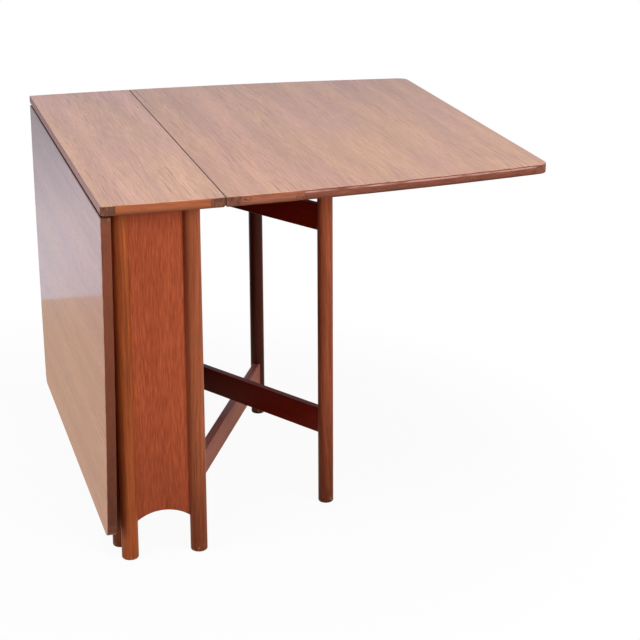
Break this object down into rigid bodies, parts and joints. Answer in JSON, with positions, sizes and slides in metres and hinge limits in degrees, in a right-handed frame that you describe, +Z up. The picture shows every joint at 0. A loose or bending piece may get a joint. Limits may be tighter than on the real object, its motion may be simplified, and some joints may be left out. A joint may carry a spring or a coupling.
{
  "type": "drop-leaf gateleg table",
  "caption": "Drop-leaf dining table with a narrow fixed centre on arched end panels, wide hinged leaves and crossing swing-out gates that prop a raised leaf.",
  "frame": {"origin": "on the floor at the middle of the base, midway between the four fixed legs", "axes": "+Z up, +X towards the raised leaf, +Y along the hinge lines, away from the picture's camera"},
  "size_m": [0.883, 0.9998, 0.73],
  "materials": {
    "top_veneer": "satin lacquered straight-grained veneer",
    "lipping": "satin lacquered solid wood",
    "board_core": "sealed board with a backing veneer",
    "end_panel": "satin lacquered red-brown veneer",
    "leg_wood": "satin lacquered turned wood",
    "gate_wood": "satin lacquered dark wood",
    "frame_wood": "sealed wood",
    "hinges": "dull brass",
    "screws": "dull brass"
  },
  "bodies": {
    "base": {"bearer_screws": "screws", "board_fixing_screws": "screws", "centre_core": "board_core", "centre_end_lippings": "lipping", "centre_left_lipping": "lipping", "centre_right_lipping": "lipping", "centre_veneer": "top_veneer", "far_end_panel": "end_panel", "far_left_leg": "leg_wood", "far_lower_bearer": "frame_wood", "far_right_leg": "leg_wood", "far_upper_bearer": "frame_wood", "left_far_gate_leg": "gate_wood", "left_far_gate_lower_rail": "gate_wood", "left_far_gate_pivots": "gate_wood", "left_far_gate_upper_rail": "gate_wood", "left_hinge_fixed_flaps": "hinges", "left_hinge_fixed_screws": "screws", "left_hinge_pins": "hinges", "left_near_gate_leg": "gate_wood", "left_near_gate_lower_rail": "gate_wood", "left_near_gate_stile": "gate_wood", "left_near_gate_upper_rail": "gate_wood", "leg_dowels": "frame_wood", "lower_stretcher": "frame_wood", "near_end_panel": "end_panel", "near_left_leg": "leg_wood", "near_lower_bearer": "frame_wood", "near_right_leg": "leg_wood", "near_upper_bearer": "frame_wood", "right_hinge_fixed_flaps": "hinges", "right_hinge_fixed_screws": "screws", "right_hinge_pins": "hinges", "upper_rail": "frame_wood"},
    "left_leaf": {"left_hinge_leaf_flaps": "hinges", "left_hinge_leaf_screws": "screws", "left_leaf_core": "board_core", "left_leaf_end_lippings": "lipping", "left_leaf_gate_stops": "frame_wood", "left_leaf_inner_lipping": "lipping", "left_leaf_outer_lipping": "lipping", "left_leaf_veneer": "top_veneer"},
    "right_leaf": {"right_hinge_leaf_flaps": "hinges", "right_hinge_leaf_screws": "screws", "right_leaf_core": "board_core", "right_leaf_end_lippings": "lipping", "right_leaf_gate_stops": "frame_wood", "right_leaf_inner_lipping": "lipping", "right_leaf_outer_lipping": "lipping", "right_leaf_veneer": "top_veneer"},
    "right_near_gate": {"right_near_gate_leg": "gate_wood", "right_near_gate_lower_rail": "gate_wood", "right_near_gate_stile": "gate_wood", "right_near_gate_upper_rail": "gate_wood"},
    "right_far_gate": {"right_far_gate_leg": "gate_wood", "right_far_gate_lower_rail": "gate_wood", "right_far_gate_pivots": "gate_wood", "right_far_gate_upper_rail": "gate_wood"}
  },
  "joints": [
    {"name": "left_leaf_hinge", "type": "hinge", "parent": "base", "child": "left_leaf", "pos_m": [-0.1045, 0, 0.7195], "axis": [0, 1, 0], "range_deg": [0, 90]},
    {"name": "right_leaf_lift", "type": "hinge", "parent": "base", "child": "right_leaf", "pos_m": [0.1045, 0, 0.7195], "axis": [0, -1, 0], "range_deg": [0, 4]},
    {"name": "right_near_gate_swing", "type": "hinge", "parent": "base", "child": "right_near_gate", "pos_m": [0.0401, 0.3, 0], "axis": [0, 0, -1], "range_deg": [0, 26.9]},
    {"name": "right_far_gate_swing", "type": "hinge", "parent": "base", "child": "right_far_gate", "pos_m": [0.0765, -0.3, 0], "axis": [0, 0, 1], "range_deg": [0, 26.6]}
  ]
}
